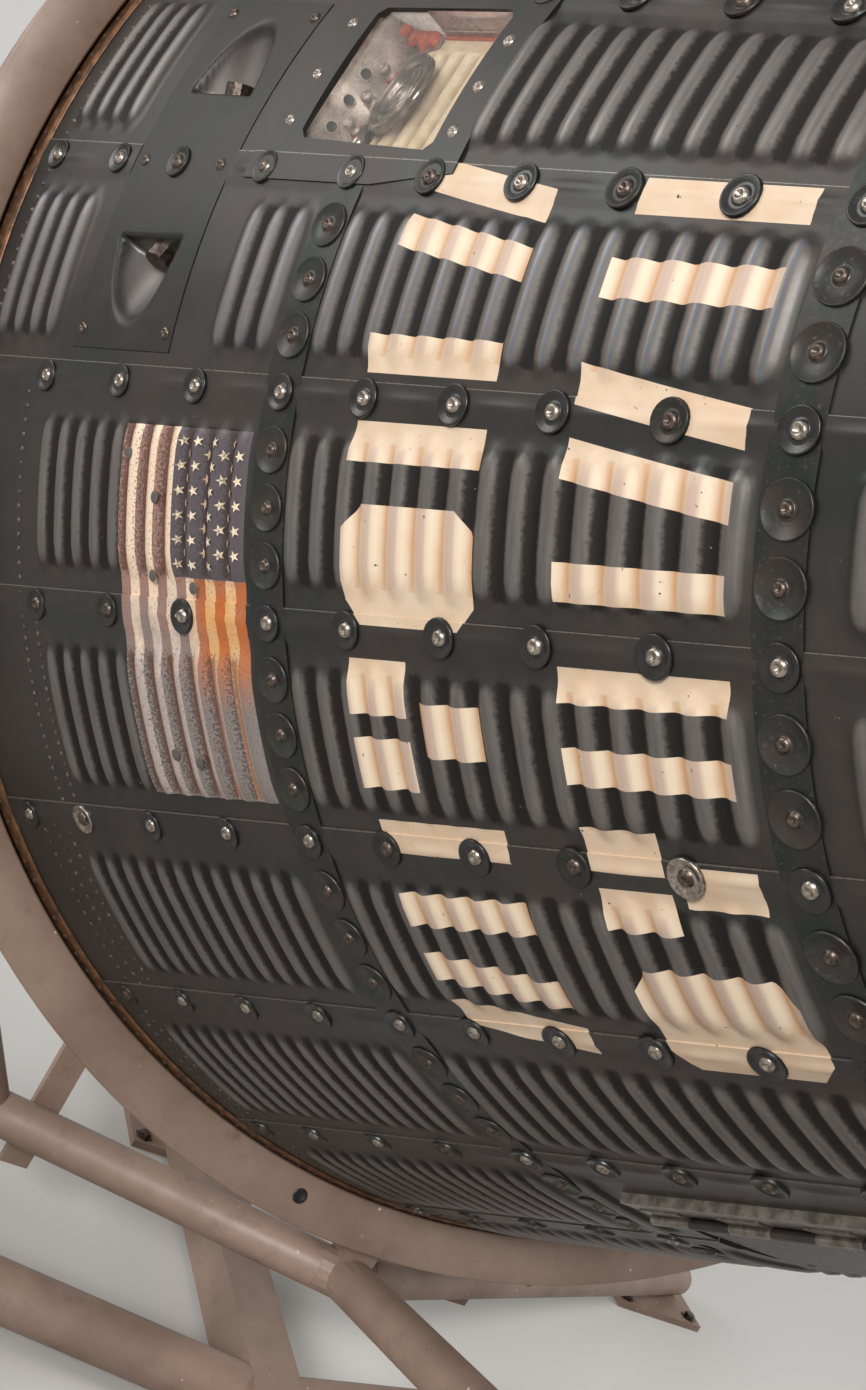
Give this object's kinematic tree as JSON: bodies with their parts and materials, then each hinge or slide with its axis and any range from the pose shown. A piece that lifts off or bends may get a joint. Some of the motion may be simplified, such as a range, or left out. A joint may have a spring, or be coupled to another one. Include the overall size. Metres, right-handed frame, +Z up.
{
  "type": "one-seat space capsule on a display cradle",
  "caption": "Blunt cone space capsule with corrugated shingles, hatch, window, periscope and nose sections, lying nose up on a painted ring-and-tube cradle.",
  "frame": {"origin": "on the floor under the middle of the whole object", "axes": "+X towards the nose, +Y to the left, +Z up"},
  "size_m": [3.1814, 2.217, 2.293],
  "materials": {
    "shingle_alloy": "oxidised satin",
    "shield_resin": "charred matte",
    "inner_wall_metal": "satin",
    "nose_shingle_metal": "oxidised satin",
    "thruster_plate_metal": "oxidised matte",
    "nozzle_steel": "heat tinted",
    "window_frame_metal": "dull",
    "window_glass": "clear",
    "port_cream_paint": "satin",
    "port_clear_plastic": "clear",
    "bracket_aluminium": "machined",
    "valve_steel": "polished",
    "hinge_steel": "dull",
    "periscope_tube": "matte",
    "couch_plastic": "matte",
    "instrument_paint": "matte",
    "cradle_paint": "chipped satin",
    "saddle_rubber": "matte"
  },
  "bodies": {
    "capsule_on_cradle": {"shingles_aft": "shingle_alloy", "shingles_mid": "shingle_alloy", "shingles_forward": "shingle_alloy", "pressure_wall": "inner_wall_metal", "side_hatch": "shingle_alloy", "roll_scoop_right": "thruster_plate_metal", "roll_scoop_left": "thruster_plate_metal", "roll_nozzles": "nozzle_steel", "window_frame": "window_frame_metal", "window_pane": "window_glass", "port_tray": "port_cream_paint", "port_cover": "port_clear_plastic", "port_bracket": "bracket_aluminium", "port_valve": "valve_steel", "periscope_hinge_strip": "hinge_steel", "periscope_well": "inner_wall_metal", "flap_ears": "hinge_steel", "heat_shield": "shield_resin", "recovery_section": "nose_shingle_metal", "antenna_housing": "nose_shingle_metal", "couch": "couch_plastic", "instrument_panel": "instrument_paint", "stand_ring": "cradle_paint", "stand_hub": "cradle_paint", "stand_keel": "cradle_paint", "saddle_pad": "saddle_rubber", "stand_saddle": "cradle_paint", "stand_column": "cradle_paint", "stand_spine": "cradle_paint", "stand_feet": "cradle_paint", "stand_leg_left": "cradle_paint", "stand_cross_left": "cradle_paint", "stand_prop_left": "cradle_paint", "stand_brace_left": "cradle_paint", "stand_leg_right": "cradle_paint", "stand_cross_right": "cradle_paint", "stand_prop_right": "cradle_paint", "stand_brace_right": "cradle_paint"},
    "periscope_body": {"periscope": "periscope_tube"},
    "door_body": {"periscope_door": "shingle_alloy"},
    "flap_body": {"destabiliser_flap": "nose_shingle_metal"}
  },
  "joints": [
    {"name": "periscope_slide", "type": "slide", "parent": "capsule_on_cradle", "child": "periscope_body", "axis": [0.2588, 0, -0.9659], "range_m": [0, 0.13]},
    {"name": "periscope_door_hinge", "type": "hinge", "parent": "capsule_on_cradle", "child": "door_body", "pos_m": [-0.25691, -0.09829, 0.76296], "axis": [-0.8189, -0.0449, -0.5722], "range_deg": [0, 100]},
    {"name": "flap_hinge", "type": "hinge", "parent": "capsule_on_cradle", "child": "flap_body", "pos_m": [1.47807, 0, 2.20775], "axis": [0, -1, 0], "range_deg": [0, 95]}
  ],
  "couplings": [
    {"joint": "periscope_door_hinge", "follows": "periscope_slide", "rad_per_m": 13.4}
  ]
}
